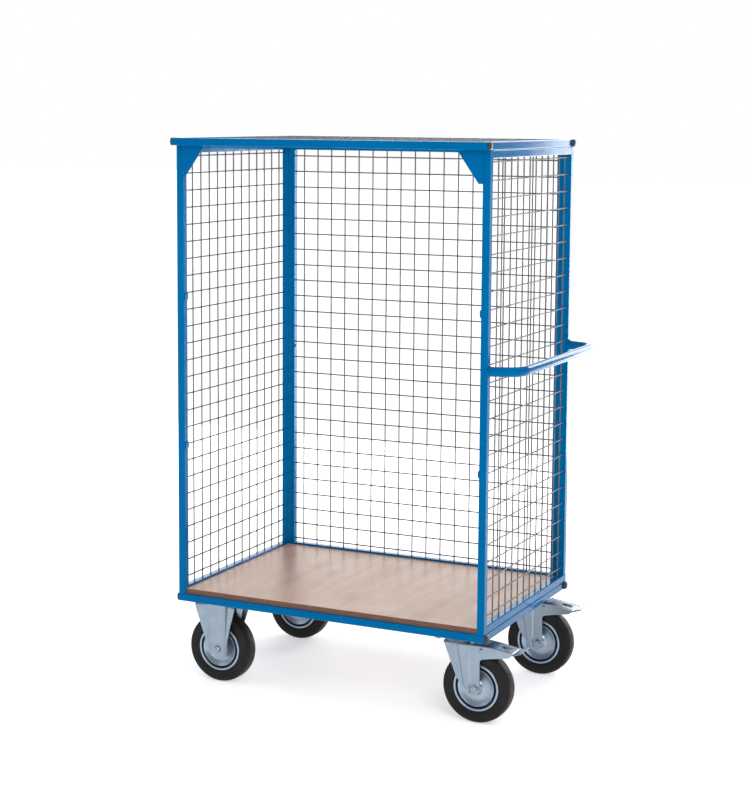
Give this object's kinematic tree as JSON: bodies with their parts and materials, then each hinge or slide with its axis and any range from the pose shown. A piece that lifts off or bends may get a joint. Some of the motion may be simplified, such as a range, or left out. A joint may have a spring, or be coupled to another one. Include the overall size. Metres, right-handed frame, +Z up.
{
  "type": "roll cage container",
  "caption": "Wheeled roll cage: square-tube frame with welded mesh walls and roof, open front, board deck, bent push handle, fixed and braked swivel casters.",
  "frame": {"origin": "on the floor, under the middle of the bounding box", "axes": "+X along the open front toward the push handle, +Y from the open front to the rear wall, +Z up"},
  "size_m": [1.0855, 0.6884, 1.623],
  "materials": {
    "blue_powder_coat": "satin powder coat",
    "zinc_plated_steel": "zinc plated",
    "galvanised_wire": "dull galvanised",
    "laminated_board": "glossy laminated board",
    "black_rubber": "matte",
    "black_plastic": "matte"
  },
  "bodies": {
    "cage": {"base_rail_front": "blue_powder_coat", "base_rail_rear": "blue_powder_coat", "base_rail_left": "blue_powder_coat", "base_rail_right": "blue_powder_coat", "roof_rail_front": "blue_powder_coat", "roof_rail_rear": "blue_powder_coat", "roof_rail_left": "blue_powder_coat", "roof_rail_right": "blue_powder_coat", "left_wall_front_post": "blue_powder_coat", "left_wall_rear_post": "blue_powder_coat", "left_wall_top_tube": "blue_powder_coat", "left_wall_bottom_tube": "blue_powder_coat", "right_wall_front_post": "blue_powder_coat", "right_wall_rear_post": "blue_powder_coat", "right_wall_top_tube": "blue_powder_coat", "right_wall_bottom_tube": "blue_powder_coat", "rear_wall_left_post": "blue_powder_coat", "rear_wall_right_post": "blue_powder_coat", "rear_wall_top_tube": "blue_powder_coat", "rear_wall_bottom_tube": "blue_powder_coat", "gusset_left": "blue_powder_coat", "gusset_right": "blue_powder_coat", "push_handle": "blue_powder_coat", "caster_beam_left": "blue_powder_coat", "caster_beam_right": "blue_powder_coat", "base_cap_front_left": "black_plastic", "base_cap_front_right": "black_plastic", "base_cap_rear_left": "black_plastic", "base_cap_rear_right": "black_plastic", "roof_cap_front_left": "black_plastic", "roof_cap_front_right": "black_plastic", "roof_cap_rear_left": "black_plastic", "roof_cap_rear_right": "black_plastic", "rear_wall_mesh": "galvanised_wire", "left_wall_mesh": "galvanised_wire", "right_wall_mesh": "galvanised_wire", "roof_mesh": "galvanised_wire", "deck_board": "laminated_board", "fixed_fork_front": "zinc_plated_steel", "swivel_plate_front": "zinc_plated_steel", "wheel_axle_fixed_front": "zinc_plated_steel", "fixed_fork_rear": "zinc_plated_steel", "swivel_plate_rear": "zinc_plated_steel", "wheel_axle_fixed_rear": "zinc_plated_steel"},
    "wheel_fixed_front": {"wheel_rim_fixed_front": "zinc_plated_steel", "wheel_tyre_fixed_front": "black_rubber"},
    "swivel_front": {"swivel_fork_front": "zinc_plated_steel", "wheel_axle_swivel_front": "zinc_plated_steel"},
    "pedal_front": {"brake_pedal_front": "zinc_plated_steel"},
    "wheel_swivel_front": {"wheel_rim_swivel_front": "zinc_plated_steel", "wheel_tyre_swivel_front": "black_rubber"},
    "wheel_fixed_rear": {"wheel_rim_fixed_rear": "zinc_plated_steel", "wheel_tyre_fixed_rear": "black_rubber"},
    "swivel_rear": {"swivel_fork_rear": "zinc_plated_steel", "wheel_axle_swivel_rear": "zinc_plated_steel"},
    "pedal_rear": {"brake_pedal_rear": "zinc_plated_steel"},
    "wheel_swivel_rear": {"wheel_rim_swivel_rear": "zinc_plated_steel", "wheel_tyre_swivel_rear": "black_rubber"}
  },
  "joints": [
    {"name": "fixed_wheel_spin_front", "type": "hinge", "parent": "cage", "child": "wheel_fixed_front", "pos_m": [-0.43075, -0.23725, 0.1025], "axis": [0, 1, 0], "continuous": true},
    {"name": "caster_swivel_front", "type": "hinge", "parent": "cage", "child": "swivel_front", "pos_m": [0.34325, -0.23725, 0.235], "axis": [0, 0, 1], "continuous": true},
    {"name": "swivel_wheel_spin_front", "type": "hinge", "parent": "swivel_front", "child": "wheel_swivel_front", "pos_m": [0.39925, -0.23725, 0.1025], "axis": [0, 1, 0], "continuous": true},
    {"name": "brake_press_front", "type": "hinge", "parent": "swivel_front", "child": "pedal_front", "pos_m": [0.41925, -0.23725, 0.214], "axis": [0, 1, 0], "range_deg": [0, 10]},
    {"name": "fixed_wheel_spin_rear", "type": "hinge", "parent": "cage", "child": "wheel_fixed_rear", "pos_m": [-0.43075, 0.25875, 0.1025], "axis": [0, 1, 0], "continuous": true},
    {"name": "caster_swivel_rear", "type": "hinge", "parent": "cage", "child": "swivel_rear", "pos_m": [0.34325, 0.25875, 0.235], "axis": [0, 0, 1], "continuous": true},
    {"name": "swivel_wheel_spin_rear", "type": "hinge", "parent": "swivel_rear", "child": "wheel_swivel_rear", "pos_m": [0.39925, 0.25875, 0.1025], "axis": [0, 1, 0], "continuous": true},
    {"name": "brake_press_rear", "type": "hinge", "parent": "swivel_rear", "child": "pedal_rear", "pos_m": [0.41925, 0.25875, 0.214], "axis": [0, 1, 0], "range_deg": [0, 10]}
  ]
}
